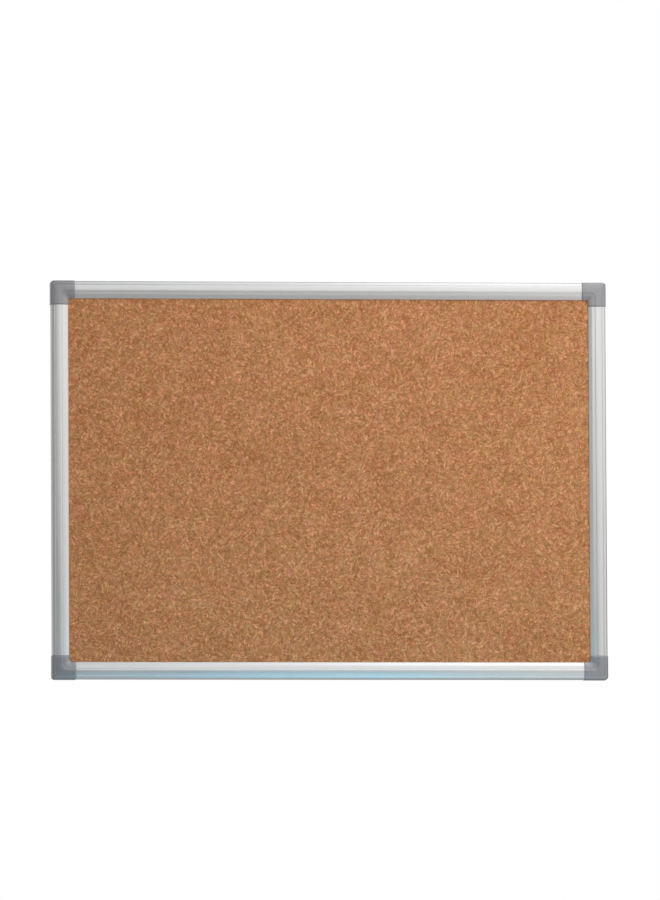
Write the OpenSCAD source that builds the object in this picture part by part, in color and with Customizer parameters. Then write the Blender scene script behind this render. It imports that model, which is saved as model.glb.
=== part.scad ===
// Framed cork notice board, hung on a wall by four screws hidden under its corner caps.
// The wall is the plane y = 0, the cork faces -Y and +Z is up.
// The origin is the centre of the four wall screw holes, on the wall plane.

/* [Board] */
// Overall width, over the corner caps
board_w = 700; // [300:10:1200]
// Overall height, over the corner caps
board_h = 500; // [250:10:900]
// Distance from the wall to the crown of the rails
frame_depth = 17; // [16.5:0.5:20]

/* [Rail] */
// Width of the rail's face, from its outer side to its inner lip
face_w = 21.5; // [20.5:0.5:23]
// Width of the hollow box along the rail's outer side
box_w = 12.4; // [12:0.1:13]
// Thickness of the extruded walls
wall_t = 1.3; // [1.1:0.1:1.5]
// Radius of the rail's outer front edge
edge_r = 2; // [1.4:0.1:2.4]
// Height of the crown above its outer edge
crown_rise = 0.8; // [0.4:0.1:1]
// Width of the gentle slope between the crown and the inner lip
flat_w = 5.8; // [5:0.2:6.4]
// Width of the steeper lip next to the cork
lip_w = 4.4; // [4:0.2:5]
// Width of the groove along the gentle slope
groove_w = 0.8; // [0.6:0.1:1.2]
// Depth of that groove
groove_d = 0.2; // [0.1:0.1:0.5]
// Distance from the rail's outer side to the fine line along its crown
fine_line = 4.4; // [3.6:0.1:5.2]
// Reach of the rear lip behind the panel
rear_lip_w = 6.6; // [4:0.2:8]

/* [Panel] */
// Thickness of the cork sheet
cork_t = 2; // [1.5:0.1:2]
// Thickness of the softboard core
core_t = 7; // [6:0.5:7]
// Thickness of the paper liner on the back
liner_t = 0.5; // [0.3:0.1:0.5]

/* [Corners] */
// Length of a cap's arm, from the board's outer corner
cap_arm = 30; // [28:1:36]
// Distance that a cap stands proud of the rails
cap_proud = 0.6; // [0.4:0.1:0.8]
// Thickness of a cap's side wall
cap_t = 1.5; // [1.2:0.1:1.6]
// Radius of a cap's outer corner
cap_corner_r = 4; // [3:0.5:5]
// Radius of a cap's inner corner, next to the cork
cap_inner_r = 2.5; // [1:0.5:3]
// Diameter of a cap's two pegs
peg_d = 4; // [3.5:0.1:4.2]
// Length of a cap's pegs
peg_l = 7; // [5:0.5:8]
// Length of a joiner's tongue inside a rail
tongue_l = 32; // [26:1:40]

/* [Fasteners] */
// Distance from the board's outer sides to a wall screw
wall_screw_inset = 7.5; // [7.2:0.1:7.6]
// Diameter of the hole for a wall screw
wall_screw_d = 4.5; // [4:0.1:5]
// Diameter of the well that takes a wall screw's head
screw_well_d = 8.6; // [8:0.1:9]
// Diameter of a joiner screw's shank
joiner_screw_d = 2.9; // [2.5:0.1:3]
// Length of a joiner screw
joiner_screw_l = 9; // [7:0.5:10]

/* [Hidden] */
$fn = 48;

over = 1; // how far a cutting solid runs past the face it opens

// A section is drawn as [inset, height]: inset from the board's outline, height from the wall.
rail_back = 0.6;
box_inset = cap_proud + box_w;
tip_inset = cap_proud + face_w;
ridge_drop = 1.1; // from the crown's height down to the ridge above the lip
ridge_inset = tip_inset - lip_w;
ridge_v = frame_depth - ridge_drop;
ridge_soft = 0.4; // half the width of the ridge's chamfer
crown_end = ridge_inset - flat_w;
peak_inset = crown_end - 2; // the crown's highest line
groove_inset = crown_end + 1.5;
fine_w = 0.9;
fine_d = 0.2;
nose_w = 0.7; // the lip's blunt nose
nose_t = 1.2;
lip_edge_t = 1.8; // thickness of the lip where the nose begins
lip_foot = 2.2; // width of the lip's foot, in front of the cork
slope_drop = 0.4; // from the crown's height down to the gentle slope, beside the box
channel_floor = 3;
panel_gap = 0.1; // between the cork and the front lips
panel_margin = 0.4; // between the panel's edges and the rails
panel_t = liner_t + core_t + cork_t;
lip_under = channel_floor + panel_t + panel_gap;
rear_lip_t = 1.2;
back_chamfer = 0.5;

// The hollow of the box, which takes a joiner's tongue
hollow_out = cap_proud + wall_t;
hollow_in = box_inset - wall_t;
hollow_floor = rail_back + wall_t;
hollow_roof = frame_depth - crown_rise - wall_t;
hollow_chamfer = 1.2;

// The corner: a joiner inside a cap
joint_gap = 0.3; // between a cap's arm and the rail's end
shoulder = cap_arm + joint_gap;
cap_back = 0.4; // a cap's side walls stop short of the wall
cap_front_t = 2;
cap_roof = frame_depth + cap_proud - cap_front_t;
cap_clear = 0.2; // around a cap's cavity
cap_tip = tip_inset + cap_clear;
cap_under = lip_under + cap_clear;
cap_top = frame_depth + 2 * cap_proud; // above any point of a cap
joiner_out = cap_t + cap_clear;
joiner_in = box_inset;
joiner_front = cap_roof - cap_clear;
joiner_floor = 3;
tongue_clear = 0.15;
panel_inset = box_inset + panel_margin;

peg_along = 21.5; // from the board's outline to a peg, along its arm
peg_across = (joiner_out + joiner_in) / 2;
peg_clear = 0.05;
peg_chamfer = 0.5;
hole_spare = 0.8; // empty depth below a peg or a screw

pocket_w = 6; // lightening pockets in a tongue
pocket_l = 5.5;
pocket_pitch = 20;
pocket_floor = 2;

screw_along = shoulder + tongue_l / 2;
screw_across = (hollow_out + hollow_in) / 2;
screw_head_r = 2.7;
screw_head_h = 1.25;
screw_sink = 0.1; // how far a head lies below the rail's back
screw_point_h = 1.2;
screw_clear = 0.05; // around a screw in its tongue and under its head
screw_pass = 0.15; // around a screw where it passes the rail's wall
recess_l = 2.8; // cross recess in a screw's head
recess_w = 0.6;
recess_d = 0.8;

arc_steps = 8;
outer_steps = 3;
crown_steps = 8;

// ---- section outlines ----

// Height of the crown at an inset x, for a face whose outer side is at the inset side
function crown_v(x, side, lift) =
    frame_depth + lift - crown_rise * pow((x - peak_inset) / (peak_inset - side - edge_r), 2);

function crown_points(from, to, steps, side, lift) =
    [for (i = [0 : steps])
        let (x = from + (to - from) * i / steps)
        [x, crown_v(x, side, lift)]];

// Height of a straight line at x, from the point a to the point b
function line_v(x, a, b) = a[1] + (b[1] - a[1]) * (x - a[0]) / (b[0] - a[0]);

// Front face from the outer side inwards: rounded edge, crown with its fine line, gentle slope
// with its groove, ridge, lip and nose
function face_line(side, lift, tip, under) =
    let (
        shoulder_v = crown_v(side + edge_r, side, lift),
        slope_top = [crown_end, crown_v(crown_end, side, lift)],
        ridge = [ridge_inset, ridge_v + lift],
        nose = [tip - nose_w, under + lip_edge_t + lift],
        groove_end = groove_inset + groove_w,
        fine_x = side + fine_line
    )
    concat(
        [for (i = [0 : arc_steps - 1])
            let (turn = 90 * i / arc_steps)
            [side + edge_r - edge_r * cos(turn), shoulder_v - edge_r + edge_r * sin(turn)]],
        crown_points(side + edge_r, fine_x - fine_w / 2, outer_steps, side, lift),
        [[fine_x, crown_v(fine_x, side, lift) - fine_d]],
        crown_points(fine_x + fine_w / 2, crown_end, crown_steps, side, lift),
        [
            [groove_inset, line_v(groove_inset, slope_top, ridge)],
            [groove_inset + groove_w / 3, line_v(groove_inset, slope_top, ridge) - groove_d],
            [groove_end - groove_w / 3, line_v(groove_end, slope_top, ridge) - groove_d],
            [groove_end, line_v(groove_end, slope_top, ridge)],
            [ridge_inset - ridge_soft, line_v(ridge_inset - ridge_soft, slope_top, ridge)],
            [ridge_inset + ridge_soft, line_v(ridge_inset + ridge_soft, ridge, nose)],
            nose,
            [tip, under + nose_t + lift],
            [tip, under]
        ]
    );

// The rail: hollow box with a front and a rear lip that hold the panel between them
function rail_outline() = concat(
    [[cap_proud, rail_back + back_chamfer]],
    face_line(cap_proud, 0, tip_inset, lip_under),
    [
        [tip_inset - lip_foot, lip_under],
        [ridge_inset, ridge_v - wall_t],
        [box_inset, frame_depth - slope_drop - wall_t],
        [box_inset, channel_floor],
        [box_inset + rear_lip_w, channel_floor],
        [box_inset + rear_lip_w, channel_floor - rear_lip_t],
        [box_inset, channel_floor - rear_lip_t],
        [box_inset, rail_back],
        [cap_proud + back_chamfer, rail_back]
    ]
);

function hollow_outline(clear) = [
    [hollow_out + clear, hollow_floor + clear],
    [hollow_in - clear, hollow_floor + clear],
    [hollow_in - clear, hollow_roof - clear],
    [hollow_out + hollow_chamfer, hollow_roof - clear],
    [hollow_out + clear, hollow_roof - hollow_chamfer]
];

// The cap's arm, solid: its cavity is cut from it later
function cap_outline() = concat(
    [[0, cap_back]],
    face_line(0, cap_proud, cap_tip, cap_under),
    [
        [joiner_in + cap_clear, cap_under],
        [joiner_in + cap_clear, cap_back]
    ]
);

// ---- placing ----

// Draws a section along the bottom edge: inset becomes +Z, height becomes -Y, length runs along +X
module along_bottom(length) {
    rotate([180, -90, 0]) linear_extrude(length) children();
}

// Raises a plan of the bottom left corner, drawn as [x, z] insets, between two heights from the wall
module raised(low, high) {
    rotate([90, 0, 0]) translate([0, 0, low]) linear_extrude(high - low) children();
}

// Moves a solid made for the bottom left corner of the board's outline to any corner
module at_corner(right, top) {
    mirror([right ? 1 : 0, 0, 0]) mirror([0, 0, top ? 1 : 0])
        translate([-board_w / 2, 0, -board_h / 2]) children();
}

// Repeats a solid made for a corner's bottom arm on its upright arm as well
module both_arms() {
    children();
    mirror([1, 0, -1]) children();
}

module all_corners() {
    for (right = [false, true], top = [false, true]) at_corner(right, top) children();
}

module ell(low, high, reach) {
    polygon([[low, low], [reach, low], [reach, high], [high, high], [high, reach], [low, reach]]);
}

// An L with its outer corner rounded
module round_ell(low, high, reach, r) {
    difference() {
        ell(low, high, reach);
        translate([low - over, low - over]) square(r + over);
    }
    translate([low + r, low + r]) circle(r);
}

// ---- rails ----

// A hole for a joiner screw, countersunk in the rail's back
module screw_hole() {
    translate([screw_along, 0, screw_across]) rotate([90, 0, 0]) {
        cylinder(h = hollow_floor + over, r = joiner_screw_d / 2 + screw_pass);
        translate([0, 0, rail_back + screw_sink - over])
            cylinder(h = over, r = screw_head_r + screw_clear);
        translate([0, 0, rail_back + screw_sink])
            cylinder(h = screw_head_h, r1 = screw_head_r + screw_clear,
                     r2 = joiner_screw_d / 2 + screw_clear);
    }
}

// The bottom rail of a board of this width and height, without its holes
module rail_blank(width, height) {
    translate([shoulder - width / 2, 0, -height / 2])
        along_bottom(width - 2 * shoulder)
            difference() {
                polygon(rail_outline());
                polygon(hollow_outline(0));
            }
}

// The holes at the ends of all four rails
module rail_holes() {
    all_corners() both_arms() screw_hole();
}

module rail_bottom() {
    color("gainsboro") difference() {
        rail_blank(board_w, board_h);
        rail_holes();
    }
}

module rail_top() {
    color("gainsboro") difference() {
        mirror([0, 0, 1]) rail_blank(board_w, board_h);
        rail_holes();
    }
}

module rail_left() {
    color("gainsboro") difference() {
        mirror([1, 0, -1]) rail_blank(board_h, board_w);
        rail_holes();
    }
}

module rail_right() {
    color("gainsboro") difference() {
        mirror([1, 0, 0]) mirror([1, 0, -1]) rail_blank(board_h, board_w);
        rail_holes();
    }
}

// ---- panel ----

module panel_layer(low, thickness) {
    width = board_w - 2 * panel_inset;
    height = board_h - 2 * panel_inset;
    translate([-width / 2, -low - thickness, -height / 2]) cube([width, thickness, height]);
}

module back_liner() {
    color("tan") panel_layer(channel_floor, liner_t);
}

module softboard_core() {
    color("burlywood") panel_layer(channel_floor + liner_t, core_t);
}

module cork_sheet() {
    color("peru") panel_layer(channel_floor + liner_t + core_t, cork_t);
}

// ---- corners ----

// A joiner's tongue in the bottom rail, with pockets that keep its walls even
module tongue() {
    translate([shoulder - over, 0, 0]) difference() {
        along_bottom(tongue_l + over) polygon(hollow_outline(tongue_clear));
        for (side = [-1, 1])
            translate([over + tongue_l / 2 + side * pocket_pitch / 2, 0, screw_across])
                raised(hollow_floor + pocket_floor, hollow_roof + over)
                    square([pocket_l, pocket_w], center = true);
    }
}

module joiner_screw_pilot() {
    translate([screw_along, 0, screw_across]) rotate([90, 0, 0])
        cylinder(h = rail_back + joiner_screw_l + hole_spare, d = joiner_screw_d + 2 * screw_clear);
}

module peg_socket() {
    translate([peg_along, 0, peg_across]) rotate([90, 0, 0])
        translate([0, 0, cap_roof - peg_l - hole_spare])
            cylinder(h = peg_l + over, d = peg_d + 2 * peg_clear);
}

module wall_screw_hole() {
    translate([wall_screw_inset, 0, wall_screw_inset]) rotate([90, 0, 0]) {
        translate([0, 0, -over]) cylinder(h = joiner_floor + 2 * over, d = wall_screw_d);
        translate([0, 0, joiner_floor]) cylinder(h = joiner_front, d = screw_well_d);
    }
}

// The bottom left elbow: block under the cap, lip behind the panel, a tongue for each rail
module corner_joiner() {
    color("dimgray") difference() {
        union() {
            raised(0, joiner_front)
                round_ell(joiner_out, joiner_in, shoulder, cap_corner_r - joiner_out);
            raised(channel_floor - rear_lip_t, channel_floor)
                ell(joiner_in - over, joiner_in + rear_lip_w, shoulder);
            both_arms() tongue();
        }
        wall_screw_hole();
        both_arms() peg_socket();
        both_arms() joiner_screw_pilot();
    }
}

module cap_peg() {
    translate([peg_along, 0, peg_across]) rotate([90, 0, 0])
        translate([0, 0, cap_roof - peg_l]) {
            cylinder(h = peg_chamfer, d1 = peg_d - 2 * peg_chamfer, d2 = peg_d);
            translate([0, 0, peg_chamfer]) cylinder(h = peg_l - peg_chamfer + over, d = peg_d);
        }
}

// One arm of the cap, cut along the mitre
module cap_arm_solid() {
    intersection() {
        along_bottom(cap_arm) polygon(cap_outline());
        raised(0, cap_top)
            polygon([[0, 0], [cap_arm + over, 0], [cap_arm + over, cap_arm + over]]);
    }
}

// Rounds the opening's corner with a web between the two lips
module cap_inner_fillet() {
    raised(cap_under, cap_under + nose_t + cap_proud)
        difference() {
            translate([cap_tip - over, cap_tip - over]) square(cap_inner_r + over);
            translate([cap_tip + cap_inner_r, cap_tip + cap_inner_r]) circle(cap_inner_r);
        }
}

// The bottom left cover: a shell over the joiner with two pegs
module corner_cap() {
    color("gray") {
        difference() {
            intersection() {
                union() {
                    both_arms() cap_arm_solid();
                    cap_inner_fillet();
                }
                raised(0, cap_top)
                    round_ell(0, cap_arm, cap_arm, cap_corner_r);
            }
            raised(cap_back - over, cap_roof)
                round_ell(cap_t, joiner_in + cap_clear, cap_arm + over, cap_corner_r - cap_t);
        }
        both_arms() cap_peg();
    }
}

module corner_joiner_tl() { at_corner(false, true) corner_joiner(); }
module corner_joiner_tr() { at_corner(true, true) corner_joiner(); }
module corner_joiner_bl() { at_corner(false, false) corner_joiner(); }
module corner_joiner_br() { at_corner(true, false) corner_joiner(); }

module corner_cap_tl() { at_corner(false, true) corner_cap(); }
module corner_cap_tr() { at_corner(true, true) corner_cap(); }
module corner_cap_bl() { at_corner(false, false) corner_cap(); }
module corner_cap_br() { at_corner(true, false) corner_cap(); }

// ---- joiner screws ----

// A countersunk self-tapping screw, its head towards the wall
module joiner_screw() {
    translate([screw_along, 0, screw_across]) rotate([90, 0, 0])
        translate([0, 0, rail_back + screw_sink]) difference() {
            union() {
                cylinder(h = screw_head_h, r1 = screw_head_r, r2 = joiner_screw_d / 2);
                cylinder(h = joiner_screw_l - screw_point_h, d = joiner_screw_d);
                translate([0, 0, joiner_screw_l - screw_point_h])
                    cylinder(h = screw_point_h, d1 = joiner_screw_d, d2 = recess_w);
            }
            for (turn = [0, 90])
                rotate([0, 0, turn])
                    cube([recess_l, recess_w, 2 * recess_d], center = true);
        }
}

module joiner_screws() {
    color("silver") all_corners() both_arms() joiner_screw();
}

cork_sheet();
softboard_core();
back_liner();
rail_top();
rail_bottom();
rail_left();
rail_right();
corner_joiner_tl();
corner_joiner_tr();
corner_joiner_bl();
corner_joiner_br();
corner_cap_tl();
corner_cap_tr();
corner_cap_bl();
corner_cap_br();
joiner_screws();
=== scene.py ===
import math

import bmesh
import bpy
import numpy as np
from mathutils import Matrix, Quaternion, Vector


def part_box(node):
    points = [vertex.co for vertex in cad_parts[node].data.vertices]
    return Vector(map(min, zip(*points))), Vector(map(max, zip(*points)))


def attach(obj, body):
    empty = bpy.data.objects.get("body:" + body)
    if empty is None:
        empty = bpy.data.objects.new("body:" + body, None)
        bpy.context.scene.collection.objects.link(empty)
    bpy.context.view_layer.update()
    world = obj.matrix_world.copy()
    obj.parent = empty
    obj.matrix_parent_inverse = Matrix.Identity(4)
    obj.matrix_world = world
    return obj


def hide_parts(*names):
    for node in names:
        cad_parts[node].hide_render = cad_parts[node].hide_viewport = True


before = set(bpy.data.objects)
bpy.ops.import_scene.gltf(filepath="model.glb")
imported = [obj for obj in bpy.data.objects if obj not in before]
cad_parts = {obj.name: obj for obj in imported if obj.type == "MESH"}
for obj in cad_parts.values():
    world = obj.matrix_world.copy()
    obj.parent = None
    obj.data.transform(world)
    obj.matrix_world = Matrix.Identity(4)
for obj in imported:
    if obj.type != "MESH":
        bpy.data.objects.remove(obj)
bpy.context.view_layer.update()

MM = 0.001
BOARD_W, BOARD_H = 700.0, 500.0  # mm, over the caps


# ---------------------------------------------------------------- colours and nodes

def linear(*srgb):
    """An sRGB colour of 0 to 255 as linear RGBA."""
    channels = [c / 255 for c in srgb]
    return tuple(c / 12.92 if c <= 0.04045 else ((c + 0.055) / 1.055) ** 2.4 for c in channels) + (1.0,)


class Tree:
    """Builds a node tree from short calls. A value that is a socket is linked, any other is set."""

    def __init__(self, owner):
        owner.use_nodes = True
        self.tree = owner.node_tree
        self.tree.nodes.clear()

    def add(self, kind, inputs=None, **settings):
        node = self.tree.nodes.new(kind)
        for key, value in settings.items():
            setattr(node, key, value)
        for key, value in (inputs or {}).items():
            self.put(node.inputs[key], value)
        return node

    def put(self, socket, value):
        if isinstance(value, bpy.types.NodeSocket):
            self.tree.links.new(value, socket)
        else:
            socket.default_value = value

    def place(self):
        """Object coordinates, in metres."""
        return self.add("ShaderNodeTexCoord").outputs["Object"]

    def mapped(self, vector, scale=(1, 1, 1), turn=(0, 0, 0), shift=(0, 0, 0)):
        """Turned first and stretched after, so that a stretched pattern leans by the turn."""
        if any(turn):
            vector = self.add("ShaderNodeMapping", {"Vector": vector, "Rotation": turn}).outputs[0]
        node = self.add("ShaderNodeMapping", {"Vector": vector, "Scale": scale, "Location": shift})
        return node.outputs[0]

    def noise(self, vector, scale, detail=2.0, rough=0.5, distortion=0.0):
        return self.add("ShaderNodeTexNoise", {"Vector": vector, "Scale": scale, "Detail": detail,
                                               "Roughness": rough, "Distortion": distortion}).outputs[0]

    def noise_colour(self, vector, scale, detail=2.0):
        return self.add("ShaderNodeTexNoise", {"Vector": vector, "Scale": scale,
                                               "Detail": detail}).outputs["Color"]

    def cells(self, vector, scale, feature="F1"):
        return self.add("ShaderNodeTexVoronoi", {"Vector": vector, "Scale": scale}, feature=feature)

    def maths(self, operation, a, b=0.0, clamp=False):
        node = self.add("ShaderNodeMath", operation=operation, use_clamp=clamp)
        self.put(node.inputs[0], a)
        self.put(node.inputs[1], b)
        return node.outputs[0]

    def scaled(self, value, low, high, to_low, to_high):
        return self.add("ShaderNodeMapRange", {"Value": value, "From Min": low, "From Max": high,
                                               "To Min": to_low, "To Max": to_high}).outputs[0]

    def vector(self, operation, a, b=None, scale=None):
        node = self.add("ShaderNodeVectorMath", operation=operation)
        self.put(node.inputs[0], a)
        if b is not None:
            self.put(node.inputs[1], b)
        if scale is not None:
            self.put(node.inputs["Scale"], scale)
        return node.outputs["Value" if operation == "DOT_PRODUCT" else "Vector"]

    def wandered(self, at, scale, detail, reach):
        """A place moved about by noise, by half of reach each way at most."""
        offset = self.vector("SUBTRACT", self.noise_colour(at, scale, detail), (0.5, 0.5, 0.5))
        return self.vector("ADD", at, self.vector("SCALE", offset, scale=reach))

    def split(self, colour):
        return self.add("ShaderNodeSeparateColor", {"Color": colour}).outputs

    def ramp(self, fac, stops):
        node = self.add("ShaderNodeValToRGB", {"Fac": fac})
        elements = node.color_ramp.elements
        while len(elements) < len(stops):
            elements.new(0.5)
        for element, (at, colour) in zip(elements, stops):
            element.position = at
            element.color = colour
        return node.outputs[0]

    def mix(self, fac, a, b, blend="MIX"):
        node = self.add("ShaderNodeMix", data_type="RGBA", blend_type=blend, clamp_factor=True)
        self.put(node.inputs[0], fac)
        self.put(node.inputs[6], a)
        self.put(node.inputs[7], b)
        return node.outputs[2]

    def blended(self, fac, a, b):
        """Two numbers mixed."""
        node = self.add("ShaderNodeMix", data_type="FLOAT")
        self.put(node.inputs[0], fac)
        self.put(node.inputs[2], a)
        self.put(node.inputs[3], b)
        return node.outputs[0]

    def bump(self, height, distance, strength=1.0, normal=None):
        inputs = {"Height": height, "Distance": distance, "Strength": strength}
        if normal is not None:
            inputs["Normal"] = normal
        return self.add("ShaderNodeBump", inputs).outputs[0]

    def surface(self, **inputs):
        """The principled shader and the output. An underscore in a name stands for a space."""
        shader = self.add("ShaderNodeBsdfPrincipled",
                          {key.replace("_", " "): value for key, value in inputs.items()})
        self.add("ShaderNodeOutputMaterial", {"Surface": shader.outputs[0]})


def material(name):
    made = bpy.data.materials.new(name)
    return made, Tree(made)


# ---------------------------------------------------------------- materials

CORK_SRGB = (205, 141, 94)
CORK_SPREAD = 70.0  # levels that the darkest and lightest granules lie from it
CORK_STOPS = 7
CHIP_CELLS, BARK_CELLS = 420.0, 430.0  # granules to the metre


def cork_material():
    made, t = material("cork_granules")
    at = t.place()
    at = t.wandered(at, 260.0, 3.0, 0.0022)
    # Chips lie along one of three directions, in patches
    pick = t.split(t.cells(at, 120.0).outputs["Color"])[0]
    shades, gaps = [], []
    for turn, shift in ((0.5, 0.0), (1.6, 3.0), (2.6, 7.0)):
        along = t.mapped(at, scale=(0.75, 0.5, 1.2), turn=(0, turn, 0), shift=(shift, 0, shift))
        shades.append(t.split(t.cells(along, CHIP_CELLS).outputs["Color"])[0])
        gaps.append(t.cells(along, CHIP_CELLS, "DISTANCE_TO_EDGE").outputs["Distance"])

    def picked(three):
        first = t.blended(t.maths("GREATER_THAN", pick, 0.36), three[0], three[1])
        return t.blended(t.maths("GREATER_THAN", pick, 0.68), first, three[2])

    shade, gap = picked(shades), picked(gaps)
    small = t.split(t.cells(at, 760.0).outputs["Color"])[0]
    grain = t.noise(at, 1300.0, 2.0, 0.6)
    patch = t.noise(at, 34.0, 3.0, 0.6)
    wide = t.noise(at, 5.0, 1.0)
    # The sheet's relief heights, read here as painted shade for the colour: low spots darker
    relief = t.add("ShaderNodeAttribute", attribute_name="relief").outputs["Fac"]
    # 1 at the edges of the chips: a groove in the bump, and painted shade that darkens those grooves in the
    #                              colour
    crack_and_shade = t.scaled(gap, 0.0, 0.12, 1.0, 0.0)
    flake = t.scaled(shade, 0.84, 1.0, 0.0, 1.0)
    bark = t.cells(t.mapped(at, scale=(1.0, 1.0, 1.4)), BARK_CELLS)
    pit = t.maths("MULTIPLY", t.scaled(bark.outputs["Distance"], 0.1, 0.4, 1.0, 0.0),
                  t.maths("LESS_THAN", t.split(bark.outputs["Color"])[1], 0.22))
    # What makes a granule lighter or darker: the value, its middle and its share. The relief's share is
    # painted shade: the sheet's low spots darker and its raised spots lighter
    parts = (
        (small, 0.5, 0.22), (grain, 0.5, 0.42), (patch, 0.5, 0.10), (wide, 0.5, 0.08),
        (relief, 0.0, 0.03), (crack_and_shade, 0.2, -0.11), (flake, 0.08, 0.07), (pit, 0.05, -0.48),
    )
    total = t.maths("MULTIPLY", t.maths("SUBTRACT", shade, 0.5), 0.28)
    for value, middle, gain in parts:
        total = t.maths("ADD", total, t.maths("MULTIPLY", t.maths("SUBTRACT", value, middle), gain))
    total = t.maths("ADD", total, 0.5, clamp=True)
    last = CORK_STOPS - 1
    stops = []
    for k in range(CORK_STOPS):
        delta = CORK_SPREAD * (2 * k / last - 1)
        stops.append((k / last, linear(*(c + delta for c in CORK_SRGB))))
    colour = t.ramp(total, stops)
    # Redder and yellower granules, in patches wider than a granule
    hue = t.split(t.noise_colour(at, 120.0, 3.0))
    red = t.mix(1.0, colour, (1.065, 0.96, 0.975, 1), "MULTIPLY")
    olive = t.mix(1.0, colour, (0.945, 1.03, 0.965, 1), "MULTIPLY")
    colour = t.mix(t.scaled(hue[0], 0.3, 0.7, 0.0, 1.0), red, olive)
    pink = t.mix(1.0, colour, (1.0, 0.99, 1.11, 1), "MULTIPLY")
    straw = t.mix(1.0, colour, (1.0, 1.01, 0.89, 1), "MULTIPLY")
    colour = t.mix(t.scaled(hue[1], 0.3, 0.7, 0.0, 1.0), pink, straw)
    height = t.maths("ADD", t.maths("MULTIPLY", shade, 0.5),
                     t.maths("ADD", t.maths("MULTIPLY", grain, 0.5), t.maths("MULTIPLY", crack_and_shade, -0.5)))
    t.surface(Base_Color=colour, Roughness=0.78, Specular_IOR_Level=0.3,
              Normal=t.bump(height, 0.0003, 0.6))
    return made


def aluminium_material(name, along):
    """Satin anodised aluminium with fine die lines that run along the rail."""
    made, t = material(name)
    at = t.place()
    fine = (2.0, 900.0, 900.0) if along == "x" else (900.0, 900.0, 2.0)
    broad = (0.6, 160.0, 160.0) if along == "x" else (160.0, 160.0, 0.6)
    lines = t.noise(t.mapped(at, scale=fine), 1.0, 3.0, 0.6)
    bands = t.noise(t.mapped(at, scale=broad), 1.0, 2.0, 0.5)
    cloud = t.noise(at, 7.0, 3.0, 0.55)
    grit = t.noise(at, 3500.0, 2.0, 0.6)
    tone = t.maths("ADD", t.maths("MULTIPLY", bands, 0.6), t.maths("MULTIPLY", lines, 0.4))
    colour = t.ramp(tone, [(0.25, (0.70, 0.705, 0.71, 1)), (0.75, (0.78, 0.785, 0.79, 1))])
    rough = t.maths("ADD", t.scaled(lines, 0.3, 0.7, 0.34, 0.40), t.scaled(cloud, 0.3, 0.7, -0.02, 0.02))
    height = t.maths("ADD", t.maths("MULTIPLY", lines, 0.7), t.maths("MULTIPLY", grit, 0.3))
    t.surface(Base_Color=colour, Metallic=1.0, Roughness=rough,
              Normal=t.bump(height, 0.00003, 0.35))
    return made


def plastic_material(name, dark, light, rough, grain_scale, depth, metallic=0.0):
    """Moulded plastic with a spark-eroded grain, slight flow marks and rubbed high spots.
    A metallic one has fine metal flake in it."""
    made, t = material(name)
    at = t.place()
    grain = t.noise(at, grain_scale, 3.0, 0.65)
    flow = t.noise(t.mapped(at, scale=(1.0, 1.0, 2.2), turn=(0, 0.7, 0)), 60.0, 4.0, 0.6, 0.8)
    rubbed = t.noise(at, 240.0, 4.0, 0.7)
    tone = t.maths("ADD", t.maths("MULTIPLY", flow, 0.6), t.maths("MULTIPLY", grain, 0.4))
    colour = t.ramp(tone, [(0.25, dark), (0.75, light)])
    gloss = t.maths("ADD", t.scaled(rubbed, 0.35, 0.7, rough + 0.05, rough - 0.07),
                    t.scaled(grain, 0.3, 0.7, 0.03, -0.03))
    t.surface(Base_Color=colour, Metallic=metallic, Roughness=gloss, Specular_IOR_Level=0.5,
              Normal=t.bump(grain, depth, 0.5))
    return made


def screw_material():
    made, t = material("screw_zinc")
    at = t.place()
    blotch = t.noise(at, 500.0, 3.0, 0.6)
    turned = t.noise(t.mapped(at, scale=(3000, 3000, 3000)), 1.0, 2.0, 0.5)
    colour = t.ramp(blotch, [(0.3, (0.56, 0.57, 0.60, 1)), (0.7, (0.76, 0.75, 0.70, 1))])
    t.surface(Base_Color=colour, Metallic=1.0, Roughness=t.scaled(blotch, 0.3, 0.7, 0.24, 0.38),
              Normal=t.bump(turned, 0.00002, 0.4))
    return made


def softboard_material():
    made, t = material("softboard_fibre")
    at = t.place()
    fibre = t.noise(t.mapped(at, scale=(300.0, 1800.0, 300.0)), 1.0, 4.0, 0.7, 1.5)
    speck = t.noise(at, 900.0, 2.0, 0.6)
    tone = t.maths("ADD", t.maths("MULTIPLY", fibre, 0.7), t.maths("MULTIPLY", speck, 0.3))
    colour = t.ramp(tone, [(0.3, (0.26, 0.18, 0.10, 1)), (0.7, (0.46, 0.34, 0.22, 1))])
    t.surface(Base_Color=colour, Roughness=0.95, Specular_IOR_Level=0.2,
              Normal=t.bump(tone, 0.0004, 0.7))
    return made


def liner_material():
    made, t = material("liner_kraft")
    at = t.place()
    at = t.wandered(at, 90.0, 2.0, 0.004)
    fibres = []
    for turn in (0.2, 1.1, 2.3):
        strands = t.mapped(at, scale=(180.0, 400.0, 2400.0), turn=(0, turn, 0))
        fibres.append(t.noise(strands, 1.0, 2.0, 0.5))
    fibre = t.maths("MAXIMUM", t.maths("MAXIMUM", fibres[0], fibres[1]), fibres[2])
    pulp = t.noise(at, 420.0, 4.0, 0.7)
    cloud = t.noise(at, 9.0, 4.0, 0.6)
    tone = t.maths("ADD", t.maths("MULTIPLY", fibre, 0.45),
                   t.maths("ADD", t.maths("MULTIPLY", pulp, 0.35), t.maths("MULTIPLY", cloud, 0.2)))
    colour = t.ramp(tone, [(0.37, (0.36, 0.25, 0.15, 1)), (0.51, (0.47, 0.34, 0.215, 1)),
                           (0.67, (0.60, 0.46, 0.31, 1))])
    t.surface(Base_Color=colour, Roughness=0.82, Specular_IOR_Level=0.3,
              Normal=t.bump(t.maths("ADD", fibre, pulp), 0.00008, 0.5))
    return made


# ---------------------------------------------------------------- mesh helpers

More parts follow.
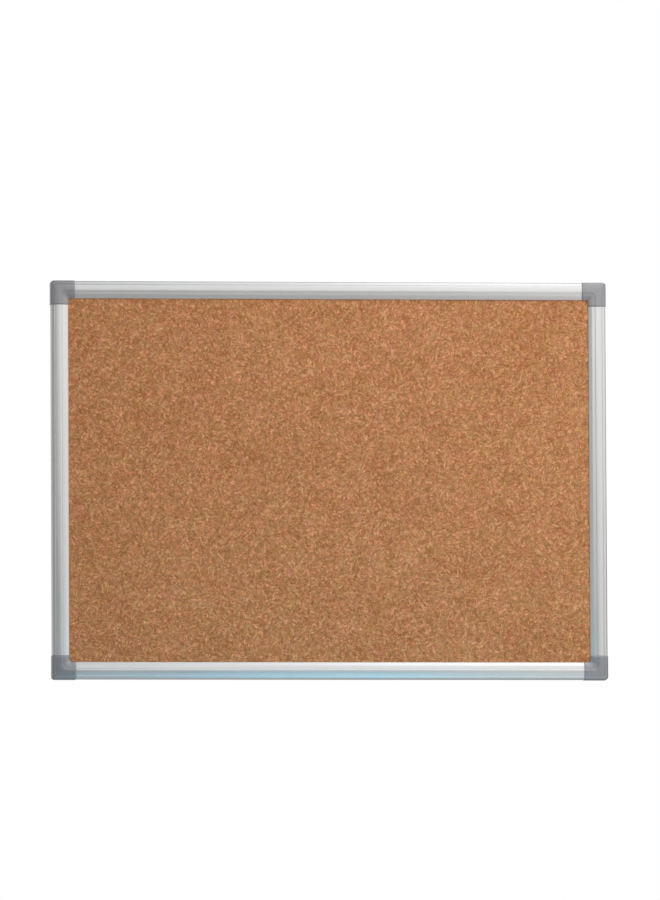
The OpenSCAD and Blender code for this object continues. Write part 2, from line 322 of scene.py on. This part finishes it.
def mesh_object(name, points, faces, smooth_angle=None):
    """points in mm; the object is in metres."""
    mesh = bpy.data.meshes.new(name)
    mesh.from_pydata((np.asarray(points, float) * MM).tolist(), [], faces)
    mesh.validate()
    made = bpy.data.objects.new(name, mesh)
    bpy.context.scene.collection.objects.link(made)
    if smooth_angle is not None:
        mesh.shade_smooth()
        mesh.set_sharp_from_angle(angle=math.radians(smooth_angle))
    return made


def noise_field(shape, sizes, seed):
    """Smooth random heights of deviation 1, from (feature size in grid steps, share) pairs."""
    random = np.random.default_rng(seed)
    waves = np.hypot(*np.meshgrid(np.fft.fftfreq(shape[0]), np.fft.fftfreq(shape[1]), indexing="ij"))
    total = np.zeros(shape)
    for size, share in sizes:
        blur = np.exp(-2 * (math.pi * waves * size / 2) ** 2)
        layer = np.fft.ifft2(np.fft.fft2(random.standard_normal(shape)) * blur).real
        total += share * layer / layer.std()
    return total / total.std()


def sheet_object(name, low, high, steps, front, depths, back):
    """A thin upright sheet. Its front is at y front plus depths, and its back is flat at y back.
    Also returns how many of its points are the front's, which come first."""
    nx, nz = steps
    x, z = np.linspace(low[0], high[0], nx + 1), np.linspace(low[1], high[1], nz + 1)
    gx, gz = np.meshgrid(x, z, indexing="ij")
    face = np.stack([gx, front + depths, gz], -1).reshape(-1, 3)

    def index(i, k):
        return i * (nz + 1) + k

    i, k = np.meshgrid(np.arange(nx), np.arange(nz), indexing="ij")
    quads = np.stack([index(i, k), index(i + 1, k), index(i + 1, k + 1), index(i, k + 1)], -1)
    rim = ([index(a, 0) for a in range(nx)] + [index(nx, b) for b in range(nz)]
           + [index(a, nz) for a in range(nx, 0, -1)] + [index(0, b) for b in range(nz, 0, -1)])
    far = face[rim].copy()
    far[:, 1] = back
    middle = np.array([[(low[0] + high[0]) / 2, back, (low[1] + high[1]) / 2]])
    points = np.concatenate([face, far, middle])
    first, centre, n = len(face), len(face) + len(rim), len(rim)
    faces = quads.reshape(-1, 4).tolist()
    for a in range(n):
        b = (a + 1) % n
        faces.append([rim[b], rim[a], first + a, first + b])
        faces.append([first + b, first + a, centre])
    if front > back:
        faces = [f[::-1] for f in faces]
    made = mesh_object(name, points, faces, smooth_angle=SHEET_SHARP)
    return made, len(face)


# ---------------------------------------------------------------- cork and liner

RELIEF_LIMIT = 2.4  # deviations
CORK_GRID, LINER_GRID = (370, 260), (132, 92)
CORK_SINK, CORK_RELIEF = 0.22, 0.09  # mm behind the CAD face on average, and mm for each deviation
LINER_SINK, LINER_RELIEF = 0.12, 0.045


def build_cork():
    low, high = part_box("cork_sheet")
    points = (CORK_GRID[0] + 1, CORK_GRID[1] + 1)
    field = noise_field(points, [(1.2, 1.0), (2.2, 0.7), (14.0, 0.35)], seed=11)
    field = np.clip(field, -RELIEF_LIMIT, RELIEF_LIMIT)
    depths = CORK_SINK - CORK_RELIEF * field
    made, count = sheet_object("cork_relief", (low.x / MM, low.z / MM), (high.x / MM, high.z / MM),
                               CORK_GRID, low.y / MM, depths, high.y / MM)
    # The relief heights go on the sheet; the cork's colour reads them as painted shade, darker in its low
    # spots
    heights = np.zeros(len(made.data.vertices), np.float32)
    heights[:count] = field.reshape(-1)
    made.data.attributes.new("relief", "FLOAT", "POINT").data.foreach_set("value", heights)
    made.data.materials.append(cork_material())
    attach(made, "board")
    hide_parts("cork_sheet")


def build_liner():
    low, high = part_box("back_liner")
    points = (LINER_GRID[0] + 1, LINER_GRID[1] + 1)
    field = noise_field(points, [(3.0, 0.35), (9.0, 1.0), (26.0, 1.4)], seed=5)
    depths = -(LINER_SINK + LINER_RELIEF * np.clip(field, -RELIEF_LIMIT, RELIEF_LIMIT))
    made, _ = sheet_object("liner_sheet", (low.x / MM, low.z / MM), (high.x / MM, high.z / MM),
                           LINER_GRID, high.y / MM, depths, low.y / MM)
    made.data.materials.append(liner_material())
    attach(made, "board")
    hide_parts("back_liner")


# ---------------------------------------------------------------- corner caps

# Section as [inset from the outline, height from the wall], in mm, as in the CAD
FRAME_DEPTH, PROUD = 17.0, 0.6
EDGE_R, CROWN_RISE, PEAK, CROWN_END = 2.0, 0.8, 9.9, 11.9
RIDGE, RIDGE_DROP, TIP, UNDER = 17.7, 1.1, 22.3, 12.8
NOSE_RUN, NOSE_HIGH, NOSE_LOW = 0.7, 1.8, 1.2  # the lip's nose, back from the tip and above the underside
GROOVE, GROOVE_W, GROOVE_D = 13.4, 0.8, 0.2
FINE, FINE_W, FINE_D = 4.4, 0.9, 0.22
CAP_ARM, CAP_BACK, CAP_T, ROOF, CAVITY_IN = 30.0, 0.4, 1.5, 15.6, 13.2
EDGE_STEPS, TURN_STEPS, PEG_SIDES = 10, 16, 32
FINE_LEAD = 0.15  # from the fine line's edges to the crown's nearest points
PEG_ALONG, PEG_ACROSS, PEG_R, PEG_L = 21.5, 7.35, 2.0, 7.0
# Rings of a peg as [radius, height]: its point's above its tip, its foot's above the cavity's roof
PEG_POINT = ((1.3, 0.0), (1.5, 0.04), (1.94, 0.48), (PEG_R, 0.6))
PEG_FOOT = ((PEG_R, -0.3), (2.25, 0.02), (2.25, 0.3))
# Soft ends of the arms: how far back from the end, and how far the section shrinks
ARM_END = ((0.0, 0.22), (0.07, 0.07), (0.22, 0.0))
ARM_INNER = 27.6  # the arm's last whole section before the corner
CAP_SHARP, SHEET_SHARP = 32, 50  # degrees at which an edge stays sharp

# Radius of the turn at each inset, where the cap's lines run round the corner
TURN_AT = (0.0, 1.5, 4.0, 8.0, 13.0, 14.6, 17.2, 18.2, 22.3)
TURN_R = (4.0, 2.9, 2.6, 4.2, 6.6, 6.6, 4.6, 4.0, 2.6)


def softened(corners, steps=4):
    """A closed outline from [x, y, radius] corners, each rounded."""
    points = []
    count = len(corners)
    for i, (x, y, radius) in enumerate(corners):
        here = Vector((x, y))
        if radius <= 0:
            points.append(here)
            continue
        before = Vector(corners[i - 1][:2]) - here
        after = Vector(corners[(i + 1) % count][:2]) - here
        half = before.angle(after) / 2
        cut = min(radius / math.tan(half), 0.45 * before.length, 0.45 * after.length)
        start, end = here + before.normalized() * cut, here + after.normalized() * cut
        for k in range(steps + 1):
            t = k / steps
            points.append(start * (1 - t) ** 2 + here * 2 * t * (1 - t) + end * t ** 2)
    return np.array([p[:] for p in points])


def cap_section():
    """The cap's section as a closed outline, from the back of its outer wall over the face."""
    top = FRAME_DEPTH + PROUD

    def crown(x):
        return top - CROWN_RISE * ((x - PEAK) / (PEAK - EDGE_R)) ** 2

    def slope(x):
        high, low = crown(CROWN_END), FRAME_DEPTH - RIDGE_DROP + PROUD
        return high + (low - high) * (x - CROWN_END) / (RIDGE - CROWN_END)

    corners = [(0, CAP_BACK, 0.3)]
    shoulder = crown(EDGE_R)
    for k in range(EDGE_STEPS):
        turn = math.radians(90 * k / EDGE_STEPS)
        corners.append((EDGE_R * (1 - math.cos(turn)), shoulder - EDGE_R + EDGE_R * math.sin(turn), 0))
    fine_start, fine_end = FINE - FINE_W / 2, FINE + FINE_W / 2
    groove_end = GROOVE + GROOVE_W
    corners += [(x, crown(x), 0) for x in np.linspace(EDGE_R, fine_start - FINE_LEAD, 4)]
    corners += [(fine_start, crown(fine_start), 0.1), (FINE, crown(FINE) - FINE_D, 0.15),
                (fine_end, crown(fine_end), 0.1)]
    corners += [(x, crown(x), 0) for x in np.linspace(fine_end + FINE_LEAD, CROWN_END, 12)]
    corners += [(GROOVE, slope(GROOVE), 0.25), (GROOVE + GROOVE_W / 3, slope(GROOVE) - GROOVE_D, 0.2),
                (groove_end - GROOVE_W / 3, slope(groove_end) - GROOVE_D, 0.2),
                (groove_end, slope(groove_end), 0.25),
                (RIDGE, slope(RIDGE), 2.5), (TIP - NOSE_RUN, UNDER + NOSE_HIGH + PROUD, 1.2),
                (TIP, UNDER + NOSE_LOW + PROUD, 0.6), (TIP, UNDER, 0.25),
                (CAVITY_IN, UNDER, 0.2), (CAVITY_IN, ROOF, 0.3), (CAP_T, ROOF, 0.3), (CAP_T, CAP_BACK, 0.3)]
    return softened(corners)


def shrunk(outline, by):
    """The outline moved inwards, into the material."""
    ahead, behind = np.roll(outline, -1, 0), np.roll(outline, 1, 0)
    along = ahead - behind
    along /= np.maximum(np.linalg.norm(along, axis=1, keepdims=True), 1e-9)
    inward = np.stack([along[:, 1], -along[:, 0]], 1)
    return outline + inward * by


def cap_stations(section):
    """Rings of points along the L: down one arm, round the corner, up the other, with soft arm ends."""
    rings = []
    for back_off, by in ARM_END:
        ring = shrunk(section, by)
        rings.append([(CAP_ARM - back_off, s, h) for s, h in ring])
    turn_r = np.interp(section[:, 0], TURN_AT, TURN_R)
    rings.append([(ARM_INNER, s, h) for s, h in section])
    first_arm = list(rings)
    for k in range(TURN_STEPS + 1):
        a = math.pi / 2 * k / TURN_STEPS
        rings.append([(s + r * (1 - math.sin(a)), s + r * (1 - math.cos(a)), h)
                      for (s, h), r in zip(section, turn_r)])
    rings += [[(w, u, h) for u, w, h in ring] for ring in reversed(first_arm)]
    return np.array(rings)


def peg_mesh():
    """A peg with a chamfered point. Its foot ends inside the roof, so that no gap shows."""
    tip = ROOF - PEG_L
    rings = [(r, tip + h) for r, h in PEG_POINT] + [(r, ROOF + h) for r, h in PEG_FOOT]
    step = 2 * math.pi / PEG_SIDES
    points = [(0.0, 0.0, tip)]
    for r, h in rings:
        points += [(r * math.cos(step * k), r * math.sin(step * k), h) for k in range(PEG_SIDES)]
    faces = [[0, 1 + (k + 1) % PEG_SIDES, 1 + k] for k in range(PEG_SIDES)]
    last = len(rings) - 1
    for ring in range(last):
        a, b = 1 + ring * PEG_SIDES, 1 + (ring + 1) * PEG_SIDES
        for k in range(PEG_SIDES):
            n = (k + 1) % PEG_SIDES
            faces.append([a + k, a + n, b + n, b + k])
    faces.append([1 + last * PEG_SIDES + k for k in range(PEG_SIDES)])
    return np.array(points), faces


def cap_mesh():
    """Points as [u, w, height] from the board's corner, and faces."""
    section = cap_section()
    rings = cap_stations(section)
    m, p = rings.shape[:2]
    faces = []
    for a in range(m - 1):
        for b in range(p):
            c = (b + 1) % p
            faces.append([a * p + b, a * p + c, (a + 1) * p + c, (a + 1) * p + b])
    faces.append(list(range(p))[::-1])
    faces.append([(m - 1) * p + b for b in range(p)])
    points = [rings.reshape(-1, 3)]
    count = m * p
    peg, peg_faces = peg_mesh()
    for spot in ((PEG_ALONG, PEG_ACROSS), (PEG_ACROSS, PEG_ALONG)):
        points.append(peg + np.array([spot[0], spot[1], 0.0]))
        faces += [[count + v for v in f] for f in peg_faces]
        count += len(peg)
    return np.concatenate(points), faces


# Corner, and the signs that turn the bottom left cap into it along x and z
CORNERS = (("tl", 1, -1), ("tr", -1, -1), ("bl", 1, 1), ("br", -1, 1))


def build_caps(finish):
    points, faces = cap_mesh()
    for name, sx, sz in CORNERS:
        x = sx * (points[:, 0] - BOARD_W / 2)
        z = sz * (points[:, 1] - BOARD_H / 2)
        placed = np.stack([x, -points[:, 2], z], 1)
        made = mesh_object(f"cap_shell_{name}", placed, faces)
        outward_normals(made)
        made.data.shade_smooth()
        made.data.set_sharp_from_angle(angle=math.radians(CAP_SHARP))
        made.data.materials.append(finish)
        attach(made, f"cap_{name}")
        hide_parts(f"corner_cap_{name}")


def outward_normals(made):
    work = bmesh.new()
    work.from_mesh(made.data)
    bmesh.ops.recalc_face_normals(work, faces=work.faces)
    work.to_mesh(made.data)
    work.free()


# ---------------------------------------------------------------- finishes of the CAD nodes

def repaint(node, finish):
    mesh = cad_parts[node].data
    if len(mesh.materials) == 0:
        mesh.materials.append(finish)
    for k in range(len(mesh.materials)):
        mesh.materials[k] = finish


def build_finishes():
    level = aluminium_material("aluminium_level", "x")
    upright = aluminium_material("aluminium_upright", "z")
    for side in ("top", "bottom"):
        repaint(f"rail_{side}", level)
    for side in ("left", "right"):
        repaint(f"rail_{side}", upright)
    joiner = plastic_material("joiner_plastic_grain", (0.055, 0.056, 0.06, 1), (0.085, 0.086, 0.09, 1),
                              0.5, 2600.0, 0.00004)
    for corner, _, _ in CORNERS:
        repaint(f"corner_joiner_{corner}", joiner)
    repaint("joiner_screws", screw_material())
    repaint("softboard_core", softboard_material())


# ---------------------------------------------------------------- floor, lights, camera

FLOOR_Z, FLOOR_R = -1.5, 40.0  # metres


def build_floor():
    bpy.ops.mesh.primitive_circle_add(vertices=96, radius=FLOOR_R, fill_type="NGON",
                                      location=(0, 0, FLOOR_Z))
    floor = bpy.context.object
    floor.name = "studio_floor"
    made, t = material("studio_floor_paint")
    tone = t.noise(t.place(), 1.5, 2.0)
    colour = t.ramp(tone, [(0.3, (0.80, 0.80, 0.80, 1)), (0.7, (0.84, 0.84, 0.84, 1))])
    t.surface(Base_Color=colour, Roughness=0.8)
    floor.data.materials.append(made)


# name, azimuth from the cork's own direction towards +X, elevation, distance, size, height it is
# aimed at above the board's middle, watts, colour. The near ones are turned down, away from the top rail
LIGHTS = (
    ("light_high_right", 35, 55, 1.5, 1.0, 0.0, 5.02, (0.98, 1.0, 1.0)),
    ("light_right", 35, 20, 1.5, 1.0, 0.0, 2.72, (1.0, 0.97, 0.94)),
    ("light_low_right", 35, -15, 1.5, 1.0, 0.0, 1.91, (1.0, 0.95, 0.89)),
    ("light_front", 0, 20, 1.5, 1.0, 0.0, 2.89, (1.0, 1.0, 0.98)),
    ("light_high", 0, 55, 1.5, 1.0, 0.0, 0.4, (0.86, 1.0, 0.97)),
    ("light_side", 70, 20, 1.5, 1.0, 0.0, 1.66, (0.97, 1.0, 0.95)),
    ("light_near_left", -23, -33, 0.775, 0.3, -0.95, 0.16, (0.0, 0.62, 1.0)),
    ("light_near", 5, -35, 0.735, 0.3, -0.95, 0.46, (0.0, 0.65, 1.0)),
    ("light_near_right", 27, -32, 0.79, 0.3, -0.95, 0.158, (0.27, 0.82, 1.0)),
)
# World light as lobes: the direction it comes from and its colour
LOBES = (
    ((0.0, 1.0, 0.0), (0.5, 0.5, 0.5)),
    ((-1.0, 0.0, 0.0), (0.48, 0.478, 0.444)),
    ((1.0, 0.0, 0.0), (0.12, 0.12, 0.12)),
    ((0.0, 0.0, 1.0), (0.25, 0.25, 0.25)),
    ((0.0, 0.0, -1.0), (0.12, 0.12, 0.12)),
)
WORLD_BASE = 0.02


def build_lights():
    for name, azimuth, elevation, distance, size, aim, watts, colour in LIGHTS:
        data = bpy.data.lights.new(name, "AREA")
        data.shape = "SQUARE"
        data.size = size
        data.energy = watts
        data.color = colour
        lamp = bpy.data.objects.new(name, data)
        bpy.context.scene.collection.objects.link(lamp)
        around, up = math.radians(azimuth), math.radians(elevation)
        toward = Vector((math.sin(around) * math.cos(up), -math.cos(around) * math.cos(up), math.sin(up)))
        lamp.location = toward * distance
        view = Vector((0, 0, aim)) - lamp.location
        lamp.rotation_euler = view.to_track_quat("-Z", "Y").to_euler()
        lamp.visible_camera = False


def build_world():
    """White to the camera, and soft lobes of studio light to everything else."""
    world = bpy.data.worlds.new("studio")
    bpy.context.scene.world = world
    t = Tree(world)
    direction = t.add("ShaderNodeTexCoord").outputs["Generated"]
    total = (WORLD_BASE, WORLD_BASE, WORLD_BASE)
    for toward, colour in LOBES:
        amount = t.maths("MAXIMUM", t.vector("DOT_PRODUCT", direction, toward), 0.0)
        total = t.vector("ADD", total, t.vector("SCALE", colour, scale=amount))
    lit = t.add("ShaderNodeBackground", {"Color": total, "Strength": 1.0})
    seen = t.add("ShaderNodeBackground", {"Color": (1, 1, 1, 1), "Strength": 1.0})
    camera_ray = t.add("ShaderNodeLightPath").outputs["Is Camera Ray"]
    both = t.add("ShaderNodeMixShader", {0: camera_ray, 1: lit.outputs[0], 2: seen.outputs[0]})
    t.add("ShaderNodeOutputWorld", {"Surface": both.outputs[0]})


# The photograph was taken with a long lens from a little to the left and a little below
YAW, PITCH, ROLL = math.radians(6.2), math.radians(-4.2), math.radians(-0.30)
DISTANCE = 16.0  # metres
AIM_Y = -13 * MM  # the camera looks at the middle of the board, near the cork's face
VIEW_H = 1.12743  # metres of the board's plane that fill the picture's height
SHIFT_X, SHIFT_Y = 0.00044, 0.03389  # of the picture's height


def build_camera():
    data = bpy.data.cameras.new("camera")
    data.sensor_width = 36.0
    camera = bpy.data.objects.new("camera", data)
    bpy.context.scene.collection.objects.link(camera)
    middle = Vector((0, AIM_Y, 0))
    back = Vector((-math.sin(YAW) * math.cos(PITCH), -math.cos(YAW) * math.cos(PITCH), math.sin(PITCH)))
    camera.location = middle + back * DISTANCE
    turn = (-back).to_track_quat("-Z", "Y")
    camera.rotation_mode = "QUATERNION"
    camera.rotation_quaternion = turn @ Quaternion((0, 0, 1), ROLL)
    data.lens = data.sensor_width * DISTANCE / VIEW_H
    data.shift_x, data.shift_y = SHIFT_X, SHIFT_Y
    data.clip_start, data.clip_end = 0.5, 200.0
    bpy.context.scene.camera = camera


# ---------------------------------------------------------------- all of it

build_cork()
build_liner()
cap_finish = plastic_material("cap_plastic_grain", linear(156, 156, 161), linear(168, 168, 173),
                              0.36, 2200.0, 0.00004, metallic=0.65)
build_caps(cap_finish)
build_finishes()
build_floor()
build_lights()
build_world()
build_camera()
bpy.context.scene.view_settings.view_transform = "Standard"
